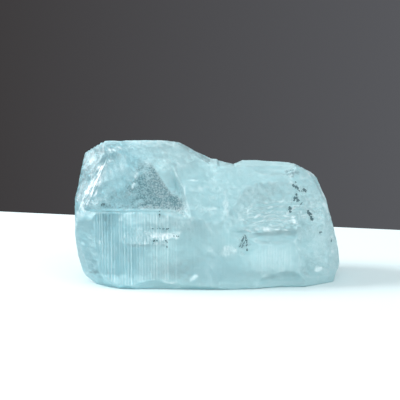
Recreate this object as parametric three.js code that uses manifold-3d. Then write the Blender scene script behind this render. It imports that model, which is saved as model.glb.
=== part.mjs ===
// A blue topaz crystal: one loose piece, cleaved off a thick prism, resting on its cleavage.
//
// The crystal's long axis (c) is vertical. Its natural prism faces stand upright, with fine
// upright striations, and its perfect cleavage is level: the base it rests on, the two flat
// plateaus on top and the ledges at the front and back are all cleavage. Everything else is
// fracture: broken faces with low shell-like ribs, and round chips along the edges.
//
// Frame: +Z up, X along the crystal's length, front towards -Y, millimetres, origin at the
// middle of the base. Places are shares of half the length, half the depth and the height.

import * as THREE from "three";
import { mergeVertices } from "three/addons/utils/BufferGeometryUtils.js";
import Module from "manifold-3d";

const wasm = await Module();
wasm.setup();

// ---- Driving dimensions, mm ----------------------------------------------------------------

const LENGTH = 47.4;
const DEPTH = 25;
const HEIGHT = 24.9;

const WASTE = 72; // width of the block of waste outside a face, larger than the whole crystal
const FRACTURE_CELL = 1.5; // spacing of the points that shape a fracture face
const STRIATION_CELL = 0.42; // spacing of the points along a striated prism face
const CHIP_DETAIL = 5; // how finely the ball behind a chip is divided

// ---- The prism -----------------------------------------------------------------------------

// Corners of the prism seen from above, anticlockwise. The side that starts at a striated
// corner is a natural prism face, and the two ends of the prism are broken off further in.
const PRISM_CORNERS = [
  { at: [-1.14, -0.9], striated: true },
  { at: [0.006, -1.015], striated: true },
  { at: [1.14, -0.69], striated: false },
  { at: [1.14, 0.744], striated: true },
  { at: [-0.124, 1.0], striated: true },
  { at: [-1.14, 0.76], striated: false },
];

// Striations are three sets of upright V-grooves of different pitch laid over each other, mm.
const STRIATIONS = [
  { pitch: 3.7, depth: 0.14, phase: 0.1 },
  { pitch: 1.63, depth: 0.12, phase: 0.45 },
  { pitch: 0.91, depth: 0.08, phase: 0.8 },
];

// ---- Faces and chips -----------------------------------------------------------------------

// A face is a plane through "at" whose outward normal has this azimuth (from +X towards +Y) and
// elevation, in degrees. A fracture also has the point it was struck at, which its shell-like
// ribs spread from. A cleavage face is level, and a wall is a plain upright break.
const cleavage = (height) => ({ at: [0, 0, height], azimuth: 0, elevation: 90 });
const fracture = (at, azimuth, elevation, struck) => ({ at, azimuth, elevation, struck });
const wall = (at, azimuth, elevation) => ({ at, azimuth, elevation });

// A chip is a shallow dish knocked out round "at": half its width, half its height and its
// depth, mm, facing along an outward azimuth and elevation.
const chip = (at, azimuth, elevation, reach, depth) => ({ at, azimuth, elevation, reach, depth });

const LEFT_BREAK = fracture([-0.5, -0.78, 0.56], -96, 11, [-0.55, -0.9, 1.1]);
const LEFT_BREAK_END = wall([-0.165, -0.9, 0.7], 215, 2);
const RIGHT_BREAK = fracture([0.415, -0.875, 0.4], -85, 9, [0.9, -0.7, 0.35]);
const RIGHT_BREAK_END = wall([0.17, -0.93, 0.45], -62, 6);
const BACK_BREAK = fracture([0, 0.86, 0.6], 87, 13, [0.5, 0.7, 1.2]);
const SADDLE_END = wall([0.06, 0, 0.84], 0, 35);

// Low terraces of cleavage on a broken face: each one is set back behind the one below it.
const TERRACES = { count: 5, first: 0.44, rise: 0.032, setback: 0.26 };

// Each cut takes away what lies beyond all of its faces: one face trims the whole crystal, and
// two or more leave a ledge with a wall behind it, or a notch.
const CUTS = {
  base: [{ at: [0, 0, 0], azimuth: 0, elevation: -90 }],

  leftPlateau: [cleavage(1.0)],
  plateauLip: [fracture([-0.36, 0, 1.0], 5, 83, [-0.3, 0.9, 1.1])],
  saddle: [fracture([-0.235, 0, 0.98], -4, 58, [-0.1, 1.1, 1.0]), cleavage(0.841)],
  notch: [
    fracture([0.07, 0, 0.846], 10, 72, [0.1, -1.2, 0.9]),
    fracture([0.2, 0, 0.81], 172, 60, [0.5, 1.1, 0.7]),
    SADDLE_END,
  ],
  rightPlateau: [cleavage(0.827), SADDLE_END],
  plateauFlake: [cleavage(0.965), fracture([-0.6, 0.3, 0.97], 62, 58, [-0.2, 1.0, 1.0])],
  backFlake: [cleavage(0.795), fracture([0.42, 0.35, 0.84], 96, 55, [0, 1, 0.9])],
  shoulderFlake: [fracture([0.485, 0.268, 0.827], 53, 60, [0.2, 1.2, 0.9])],

  leftLedge: [cleavage(0.534), LEFT_BREAK, LEFT_BREAK_END],
  leftUpperFront: [cleavage(0.545), fracture([-0.65, -0.7, 0.72], -108, 24.5, [-0.9, -0.5, 1.1])],
  middleLedge: [cleavage(0.72), fracture([0, -0.93, 0.7], -90, 20, [0.1, -0.8, 1.2])],
  rightLedge: [cleavage(0.398), RIGHT_BREAK, RIGHT_BREAK_END],
  leftFrontBrow: [fracture([-0.37, -0.56, 0.955], -94, 47, [-0.2, -0.6, 1.3])],
  rightFrontBrow: [fracture([0.33, -0.62, 0.765], -86, 42, [0.6, -0.4, 1.2])],
  rightUpperFront: [fracture([0.358, -0.761, 0.665], -85, 25, [0.7, -0.5, 1.1])],
  frontHeel: [fracture([0, -0.97, 0.02], -91, -46, [0.1, -1.4, 0])],

  backLedge: [cleavage(0.6), BACK_BREAK],
  leftBackBrow: [fracture([-0.4, 0.74, 0.95], 98, 44, [0.2, 0.6, 1.3])],
  rightBackBrow: [fracture([0.4, 0.66, 0.765], 80, 46, [-0.1, 0.7, 1.1])],
  backHeel: [fracture([0, 0.93, 0.03], 92, -42, [-0.4, 1.4, 0])],

  rightShoulder: [fracture([0.6, 0, 0.828], 4, 65, [0.7, 0.9, 1.1])],
  rightLowerShoulder: [fracture([0.735, 0, 0.785], -3, 52, [0.7, -0.9, 1.1])],
  rightBrow: [fracture([0.83, 0, 0.685], -9, 30, [0.8, -0.9, 1.0])],
  rightFlank: [fracture([0.88, 0, 0.555], 7, 15, [1.0, 1.0, 0.8])],
  rightFoot: [fracture([0.984, 0, 0.225], -3, 4, [1.0, -1.0, 0.1])],
  rightToe: [fracture([0.975, 0, 0.07], 4, -38, [1.0, 0.8, 0.0])],
  rightFrontCorner: [fracture([0.8, -0.6, 0.2], -52, 3, [0.8, -0.9, 0.8])],
  rightFrontEdge: [fracture([0.93, -0.3, 0.2], -26, 6, [0.8, -0.9, 0.8])],
  rightFrontBrowCorner: [fracture([0.7, -0.6, 0.675], -54, 30, [0.5, -0.9, 1.0])],
  rightBackCorner: [fracture([0.84, 0.6, 0.3], 51, 7, [0.9, 0.8, -0.1])],
  rightBackBrowCorner: [fracture([0.72, 0.56, 0.665], 48, 36, [0.4, 0.9, 1.0])],

  leftShoulder: [fracture([-0.79, 0, 0.99], 172, 62, [-0.7, 1.0, 1.1])],
  leftLowerShoulder: [fracture([-0.907, 0, 0.945], 184, 42, [-0.7, 1.0, 1.1])],
  leftBrow: [fracture([-0.965, 0, 0.83], 185, 14, [-0.9, -1.0, 1.1])],
  leftFlank: [fracture([-0.975, 0, 0.62], 176, 5, [-1.0, 0.9, 1.0])],
  leftFoot: [fracture([-0.992, 0, 0.36], 181, -2, [-1.0, 0.9, -0.1])],
  leftToe: [fracture([-0.992, 0, 0.18], 184, -24, [-1.0, -0.8, 0.0])],
  leftHeel: [fracture([-0.87, 0, 0.02], 176, -48, [-1.0, 0.6, 0.1])],
  leftFrontHeel: [fracture([-0.8, -0.74, 0.03], 224, -44, [-0.7, -1.0, 0.1])],
  leftFrontBevel: [fracture([-0.903, -0.71, 0.542], 222, 26, [-0.8, -0.3, 1.2])],
  leftFrontCorner: [fracture([-0.88, -0.8, 0.3], 225, -3, [-0.9, -0.8, 0.9])],
  leftFrontEdge: [fracture([-0.965, -0.47, 0.2], 203, -12, [-0.9, -0.8, 0.9])],
  leftBackCorner: [fracture([-0.842, 0.62, 0.3], 137, 3, [-0.7, 1.0, 0.7])],
  leftBackBrowCorner: [fracture([-0.77, 0.576, 0.83], 132, 38, [-0.6, 0.9, 1.2])],

  frontShell: [chip([-0.15, -0.74, 0.79], -93, 14, [6.0, 6.0], 1.7), LEFT_BREAK_END],
  rightLedgeChip: [chip([0.483, -0.875, 0.36], -82, 4, [4.6, 1.5], 0.6)],
  rightHeelChip: [chip([0.53, -0.86, 0.06], -80, -22, [4.2, 1.8], 0.8)],
  leftHeelChip: [chip([-0.371, -0.97, 0.035], -93, -34, [3.6, 1.5], 0.5)],
  rightBrowChip: [chip([0.458, -0.5, 0.81], -80, 60, [3.8, 2.2], 0.6)],
  rightFlankShell: [chip([0.925, -0.16, 0.5], -8, 15, [4.6, 5.4], 0.7)],
  rightFootShell: [chip([0.96, 0.3, 0.2], 12, 2, [3.8, 3.0], 0.6)],
  leftFlankShell: [chip([-0.975, 0.12, 0.5], 180, 3, [5.0, 5.2], 0.7)],
  leftBrowChip: [chip([-0.9, -0.35, 0.9], 200, 34, [3.2, 2.4], 0.4)],
  backShell: [chip([-0.38, 0.83, 0.7], 96, 14, [7.0, 4.6], 1.2)],
  backFootShell: [chip([0.4, 0.91, 0.26], 83, 0, [5.2, 3.4], 0.8)],
  backHeelChip: [chip([-0.72, 0.76, 0.12], 104, -20, [4.0, 2.4], 0.7)],
};

// Low shell-like ribs on a fracture, mm: rings round the struck point, and a slow roll.
const RIBS = { wave: 5.2, height: 0.13, fade: 40, roll: 9.5, rollHeight: 0.2 };

// ---- Etch pits -----------------------------------------------------------------------------

// Etch pits are small four-sided hollows with their points inward, mm.
const LARGE_PIT = { width: 0.95, depth: 0.5, stretch: 1.5 };
const SMALL_PIT = { width: 0.5, depth: 0.3, stretch: 1 };

// Single pits on the front, as shares of half the length and the height.
const FRONT_PITS = [
  [0.626, 0.692],
  [0.691, 0.667],
  [0.626, 0.612],
  [0.586, 0.539],
  [0.723, 0.51],
  [0.745, 0.473],
  [0.592, 0.8],
  [0.665, 0.577],
  [0.53, 0.38],
  [0.817, 0.361],
  [0.243, 0.322],
  [-0.75, 0.578],
];

// Rows of small pits on the striated front: first pit, number of pits and step to the next.
const PIT_ROWS = [
  { from: [-0.408, 0.426], count: 5, step: [0.027, 0] },
  { from: [-0.408, 0.335], count: 5, step: [0.027, 0] },
  { from: [-0.302, 0.3], count: 3, step: [0.001, -0.03] },
];

// ---- Geometry helpers ----------------------------------------------------------------------

// A place given in shares of the crystal's size, in millimetres.
function place([along, across, up]) {
  return new THREE.Vector3((along * LENGTH) / 2, (across * DEPTH) / 2, up * HEIGHT);
}

function direction({ azimuth, elevation }) {
  const a = THREE.MathUtils.degToRad(azimuth);
  const e = THREE.MathUtils.degToRad(elevation);
  return new THREE.Vector3(Math.cos(e) * Math.cos(a), Math.cos(e) * Math.sin(a), Math.sin(e));
}

// A closed three.js geometry as a solid that can be joined and cut.
function solidFrom(geometry) {
  const bare = geometry.clone();
  bare.deleteAttribute("normal");
  bare.deleteAttribute("uv");
  const merged = mergeVertices(bare, 1e-4);
  return new wasm.Manifold(
    new wasm.Mesh({
      numProp: 3,
      vertProperties: merged.attributes.position.array,
      triVerts: new Uint32Array(merged.index.array),
    }),
  );
}

// A solid as a flat-shaded three.js geometry.
function geometryFrom(solid) {
  const { vertProperties, triVerts } = solid.getMesh();
  const geometry = new THREE.BufferGeometry()
    .setAttribute("position", new THREE.BufferAttribute(new Float32Array(vertProperties), 3))
    .setIndex(new THREE.BufferAttribute(new Uint32Array(triVerts), 1))
    .toNonIndexed();
  geometry.computeVertexNormals();
  return geometry;
}

// Turns and moves a geometry so that its +Z points along the normal, its +Y as far up as it can,
// and its origin lies at the given place.
function seat(geometry, at, normal) {
  const up = Math.abs(normal.z) > 0.999 ? new THREE.Vector3(0, 1, 0) : new THREE.Vector3(0, 0, 1);
  const across = new THREE.Vector3().crossVectors(up, normal).normalize();
  const rise = new THREE.Vector3().crossVectors(normal, across);
  const turn = new THREE.Matrix4().makeBasis(across, rise, normal).setPosition(at);
  return geometry.applyMatrix4(turn);
}

// ---- Surface forms -------------------------------------------------------------------------

// A wave of straight flanks between 0 and 1, once per unit.
const triangleWave = (s) => 2 * Math.abs(s - Math.floor(s + 0.5));

// How deep the striations lie below the prism face, a distance s along it.
function striationDepth(s) {
  return STRIATIONS.reduce(
    (sum, { pitch, depth, phase }) => sum + depth * triangleWave(s / pitch + phase),
    0,
  );
}

// How far a fracture stands out at a point: rings round the struck point that die away with
// distance, and a slow roll along the crystal.
function ribHeight(point, struck) {
  const reach = point.distanceTo(struck);
  const fade = Math.exp(-reach / RIBS.fade);
  const rings = RIBS.height * Math.cos((2 * Math.PI * reach) / RIBS.wave) * fade;
  const roll = RIBS.rollHeight * Math.sin((point.x + 0.6 * point.z) / RIBS.roll + struck.y);
  return rings + roll;
}

// The outline of the prism from above, with its striations.
function prismShape() {
  const corners = PRISM_CORNERS.map(({ at }) => place([...at, 0]));
  const outline = [];
  corners.forEach((from, i) => {
    const { striated } = PRISM_CORNERS[i];
    const along = corners[(i + 1) % corners.length].clone().sub(from);
    const side = along.length();
    along.normalize();
    const inward = new THREE.Vector3(-along.y, along.x, 0);
    const steps = striated ? Math.round(side / STRIATION_CELL) : 1;
    for (let k = 0; k < steps; k++) {
      const s = (side * k) / steps;
      const depth = striated ? striationDepth(s) : 0;
      outline.push(from.clone().addScaledVector(along, s).addScaledVector(inward, depth));
    }
  });
  return new THREE.Shape(outline.map(({ x, y }) => new THREE.Vector2(x, y)));
}

// The upright prism that the crystal was cleaved from, taller than the crystal at both ends.
function prism() {
  const spare = 2;
  const bar = new THREE.ExtrudeGeometry(prismShape(), {
    depth: HEIGHT + 2 * spare,
    bevelEnabled: false,
  });
  return solidFrom(bar.translate(0, 0, -spare));
}

// The waste outside one face: a block whose near side is the face, with its ribs if it has any.
function beyond(face) {
  const cells = face.struck ? Math.round(WASTE / FRACTURE_CELL) : 1;
  const block = new THREE.BoxGeometry(WASTE, WASTE, WASTE, cells, cells, 1);
  const normal = direction(face);
  const origin = place(face.at);
  seat(block.translate(0, 0, WASTE / 2), origin, normal);
  if (face.struck) {
    const points = block.attributes.position;
    const struck = place(face.struck);
    const point = new THREE.Vector3();
    for (let i = 0; i < points.count; i++) {
      point.fromBufferAttribute(points, i);
      const outside = point.clone().sub(origin).dot(normal);
      if (outside < WASTE / 2) {
        point.addScaledVector(normal, ribHeight(point, struck));
        points.setXYZ(i, point.x, point.y, point.z);
      }
    }
  }
  return solidFrom(block);
}

// The ball behind a chip, flattened so that it meets the surface in an oval and goes in to the
// chip's depth.
function ball(dish) {
  const [halfWidth, halfHeight] = dish.reach;
  const radius = (halfWidth ** 2 + dish.depth ** 2) / (2 * dish.depth);
  const sphere = new THREE.IcosahedronGeometry(radius, CHIP_DETAIL);
  sphere.translate(0, 0, radius - dish.depth).scale(1, halfHeight / halfWidth, 1);
  return solidFrom(seat(sphere, place(dish.at), direction(dish)));
}

// The waste of one cut: what lies beyond all of its faces, and inside its ball if it has one.
function waste(cut) {
  const solids = cut.map((limit) => (limit.reach ? ball(limit) : beyond(limit)));
  return solids.reduce((a, b) => a.intersect(b));
}

// The cuts that leave the terraces on the right of the front, from the lowest up.
function terraceCuts() {
  return Array.from({ length: TERRACES.count }, (_, k) => {
    const [along, across, up] = RIGHT_BREAK.at;
    const behind = across + ((k + 1) * TERRACES.setback * 2) / DEPTH;
    const back = { ...RIGHT_BREAK, at: [along, behind, up] };
    return [cleavage(TERRACES.first + k * TERRACES.rise), back, RIGHT_BREAK_END];
  });
}

// One etch pit: a four-sided point driven inward at a place, along the surface's normal.
function pit({ width, depth, stretch }, at, normal) {
  const point = new THREE.ConeGeometry(width / 2, 2 * depth, 4);
  point.rotateX(-Math.PI / 2).scale(stretch, 1, 1);
  return solidFrom(seat(point, at, normal));
}

// The etch pits of the front, each seated on the surface behind its place.
function etchPits(body) {
  const surface = new THREE.Mesh(geometryFrom(body));
  const spots = FRONT_PITS.map((spot) => ({ form: LARGE_PIT, spot }));
  PIT_ROWS.forEach(({ from, count, step }) => {
    for (let k = 0; k < count; k++) {
      spots.push({ form: SMALL_PIT, spot: [from[0] + k * step[0], from[1] + k * step[1]] });
    }
  });
  return spots.map(({ form, spot: [along, up] }) => {
    const from = place([along, -2, up]);
    const [hit] = new THREE.Raycaster(from, new THREE.Vector3(0, 1, 0)).intersectObject(surface);
    return pit(form, hit.point, hit.face.normal);
  });
}

// ---- The crystal ---------------------------------------------------------------------------

function crystalSolid() {
  const cuts = [...Object.values(CUTS), ...terraceCuts()];
  const broken = cuts.reduce((body, cut) => body.subtract(waste(cut)), prism());
  return etchPits(broken).reduce((body, point) => body.subtract(point), broken);
}

// The crystal standing on its base, with the middle of its box over the origin.
function crystalGeometry() {
  const geometry = geometryFrom(crystalSolid());
  geometry.computeBoundingBox();
  const { min, max } = geometry.boundingBox;
  return geometry.translate(-(min.x + max.x) / 2, -(min.y + max.y) / 2, -min.z);
}

const topaz = new THREE.MeshStandardMaterial({
  color: 0xa8d4dc,
  roughness: 0.3,
  metalness: 0,
  transparent: true,
  opacity: 0.7,
});

const crystal = new THREE.Mesh(crystalGeometry(), topaz);
crystal.name = "topaz_crystal";

const part = new THREE.Group();
part.add(crystal);

export default part;
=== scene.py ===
"""A blue topaz crystal, cleaved off a thick prism and resting on its cleavage.

The frame's solid gives the size and the place. This script works out the crystal's fine surface
around it, sets dark mineral grains in its front, and dresses and lights it.
Lengths are in millimetres until a mesh is made, and in metres from there on.
"""

import logging
import math
from dataclasses import dataclass, field, replace
from enum import Enum
from typing import Any, Iterable, Mapping, Sequence

import bpy
import numpy as np
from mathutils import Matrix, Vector

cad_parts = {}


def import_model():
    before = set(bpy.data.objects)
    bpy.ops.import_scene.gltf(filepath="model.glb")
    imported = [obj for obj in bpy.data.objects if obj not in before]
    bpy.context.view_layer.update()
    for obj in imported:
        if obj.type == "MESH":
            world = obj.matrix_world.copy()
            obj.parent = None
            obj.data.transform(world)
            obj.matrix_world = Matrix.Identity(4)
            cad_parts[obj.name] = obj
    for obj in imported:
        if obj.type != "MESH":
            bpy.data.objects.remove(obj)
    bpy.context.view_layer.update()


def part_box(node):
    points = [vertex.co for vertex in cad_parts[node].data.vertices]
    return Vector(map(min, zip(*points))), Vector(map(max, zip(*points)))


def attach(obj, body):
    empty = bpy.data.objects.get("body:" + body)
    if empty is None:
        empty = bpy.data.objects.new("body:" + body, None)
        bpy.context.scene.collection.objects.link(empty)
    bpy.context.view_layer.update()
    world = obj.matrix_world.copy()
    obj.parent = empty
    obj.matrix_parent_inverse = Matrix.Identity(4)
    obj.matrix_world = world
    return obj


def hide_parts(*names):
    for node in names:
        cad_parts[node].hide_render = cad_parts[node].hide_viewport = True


MM = 0.001
NODE = "topaz_crystal"
LOG = logging.getLogger("topaz")

Array = np.ndarray
Tree = bpy.types.NodeTree
Socket = bpy.types.NodeSocket
Pair = tuple[float, float]
Point = tuple[float, float, float]


# ---- Helpers -------------------------------------------------------------------------------


def linear(hex_colour: str, alpha: float = 1.0) -> tuple[float, float, float, float]:
    """Turn an sRGB hex colour into linear light.

    A dark channel is divided by 12.92, and any other is shifted by 0.055, scaled back and raised
    to the power 2.4.

    Args:
        hex_colour: six hex digits, such as "A8D4DC".
        alpha: the fourth channel.

    Returns:
        Linear red, green, blue and alpha.
    """
    channels = [int(hex_colour[i : i + 2], 16) / 255 for i in (0, 2, 4)]
    red, green, blue = (c / 12.92 if c <= 0.04045 else ((c + 0.055) / 1.055) ** 2.4 for c in channels)
    return red, green, blue, alpha


def add_node(
    tree: Tree, kind: str, inputs: Mapping[str | int, Any] | None = None, **settings: Any
) -> bpy.types.Node:
    """Add a shader node, set it up and link its inputs.

    Args:
        tree: the node tree it goes in.
        kind: the node's type name, without the "ShaderNode" that all begin with.
        inputs: by an input's name or number, the socket that feeds it or the value it holds.
        settings: the node's own properties, by name.

    Returns:
        The new node.
    """
    node = tree.nodes.new("ShaderNode" + kind)
    for name, value in settings.items():
        setattr(node, name, value)
    for name, value in (inputs or {}).items():
        if isinstance(value, Socket):
            tree.links.new(value, node.inputs[name])
        else:
            node.inputs[name].default_value = value
    return node


def new_material(name: str) -> tuple[bpy.types.Material, Tree]:
    """Make a material with an empty node tree.

    Args:
        name: the real material's name.

    Returns:
        The material and its tree.
    """
    material = bpy.data.materials.new(name)
    material.use_nodes = True
    material.node_tree.nodes.clear()
    return material, material.node_tree


def mesh_object(name: str, points: Array, faces: Array, smooth: bool) -> bpy.types.Object:
    """Put arrays of points and faces into a new object at the origin.

    Args:
        name: the piece's name.
        points: one row of x, y, z in metres per vertex.
        faces: one row of vertex numbers per face, all with the same number of corners.
        smooth: whether the faces are shaded as one curved surface.

    Returns:
        The object, linked to the scene.
    """
    corners = faces.shape[1]
    mesh = bpy.data.meshes.new(name)
    mesh.vertices.add(len(points))
    mesh.vertices.foreach_set("co", np.ascontiguousarray(points, np.float32).ravel())
    mesh.loops.add(faces.size)
    mesh.loops.foreach_set("vertex_index", np.ascontiguousarray(faces, np.int32).ravel())
    mesh.polygons.add(len(faces))
    mesh.polygons.foreach_set("loop_start", np.arange(len(faces), dtype=np.int32) * corners)
    mesh.polygons.foreach_set("use_smooth", np.full(len(faces), smooth))
    mesh.update(calc_edges=True)
    mesh.validate()
    made = bpy.data.objects.new(name, mesh)
    bpy.context.scene.collection.objects.link(made)
    return made


def set_attribute(piece: bpy.types.Object, name: str, values: Array) -> None:
    """Store one number per vertex on a piece, for its material to read."""
    layer = piece.data.attributes.new(name, "FLOAT", "POINT")
    layer.data.foreach_set("value", np.ascontiguousarray(values, np.float32))


def direction(azimuth: float, elevation: float) -> Array:
    """Unit vector at an azimuth from +X towards +Y and an elevation, both in degrees."""
    a, e = math.radians(azimuth), math.radians(elevation)
    return np.array([math.cos(e) * math.cos(a), math.cos(e) * math.sin(a), math.sin(e)])


def smoothstep(low: float, high: float, value: Array) -> Array:
    """Rise smoothly from 0 where value is low to 1 where it is high."""
    t = np.clip((value - low) / (high - low), 0, 1)
    return t * t * (3 - 2 * t)


def triangle_wave(s: Array) -> Array:
    """A wave of straight flanks between 0 and 1, once per unit."""
    return 2 * np.abs(s - np.floor(s + 0.5))


def turned(u: Array, v: Array, angle: float) -> tuple[Array, Array]:
    """Turn pairs of coordinates by an angle in radians, from the first axis towards the second."""
    return u * math.cos(angle) - v * math.sin(angle), u * math.sin(angle) + v * math.cos(angle)


@dataclass(frozen=True)
class WaveField:
    """Smooth random unevenness: plane waves of one length in seeded directions, added up."""

    length: float
    seed: int
    waves: int = 14
    stretch: Point = (1.0, 1.0, 1.0)

    def at(self, points: Array) -> Array:
        """Work out the unevenness.

        The sum of sines along random directions, divided so that it mostly lies within 1.

        Args:
            points: one row of x, y, z in millimetres per place.

        Returns:
            One number per place, mostly between -1 and 1.
        """
        rng = np.random.default_rng(self.seed)
        ways = rng.normal(size=(self.waves, 3))
        ways /= np.linalg.norm(ways, axis=1, keepdims=True)
        ways *= rng.uniform(0.7, 1.4, (self.waves, 1)) / np.array(self.stretch)
        phases = rng.uniform(0, 2 * np.pi, self.waves)
        total = np.zeros(len(points))
        for way, phase in zip(ways, phases):
            total += np.sin(points @ way * (2 * np.pi / self.length) + phase)
        return total / math.sqrt(self.waves)


# ---- The crystal's form --------------------------------------------------------------------


class Surface(Enum):
    """How a part of the crystal's surface came about."""

    PRISM = 0
    CLEAVAGE = 1
    FRACTURE = 2
    CHIP = 3


@dataclass(frozen=True)
class Face:
    """A plane that limits the crystal, with ribs round the point it was struck at, if any.

    Places are in shares of the half length, half depth and height, and angles in degrees.
    """

    at: Point
    azimuth: float
    elevation: float
    struck: Point | None = None
    kind: Surface = Surface.FRACTURE


@dataclass(frozen=True)
class Chip:
    """A shallow dish, placed and turned like a face, its reach and depth in millimetres."""

    at: Point
    azimuth: float
    elevation: float
    reach: Pair
    depth: float
    kind: Surface = Surface.CHIP


def cleavage(height: float) -> Face:
    """Level cleavage at a share of the crystal's height."""
    return Face((0, 0, height), 0, 90, kind=Surface.CLEAVAGE)


def prism_face(at: Point, azimuth: float) -> Face:
    """Upright natural face of the prism."""
    return Face(at, azimuth, 0, kind=Surface.PRISM)


def fracture(at: Point, azimuth: float, elevation: float, struck: Point) -> Face:
    """Broken face with shell-like ribs round the point it was struck at."""
    return Face(at, azimuth, elevation, struck)


LEFT_BREAK = fracture((-0.5, -0.78, 0.56), -96, 11, (-0.55, -0.9, 1.1))
LEFT_BREAK_END = Face((-0.165, -0.9, 0.7), 215, 2)
RIGHT_BREAK = fracture((0.415, -0.875, 0.4), -85, 9, (0.9, -0.7, 0.35))
RIGHT_BREAK_END = Face((0.17, -0.93, 0.45), -62, 6)
BACK_BREAK = fracture((0, 0.86, 0.6), 87, 13, (0.5, 0.7, 1.2))
SADDLE_END = Face((0.06, 0, 0.84), 0, 35)

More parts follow.
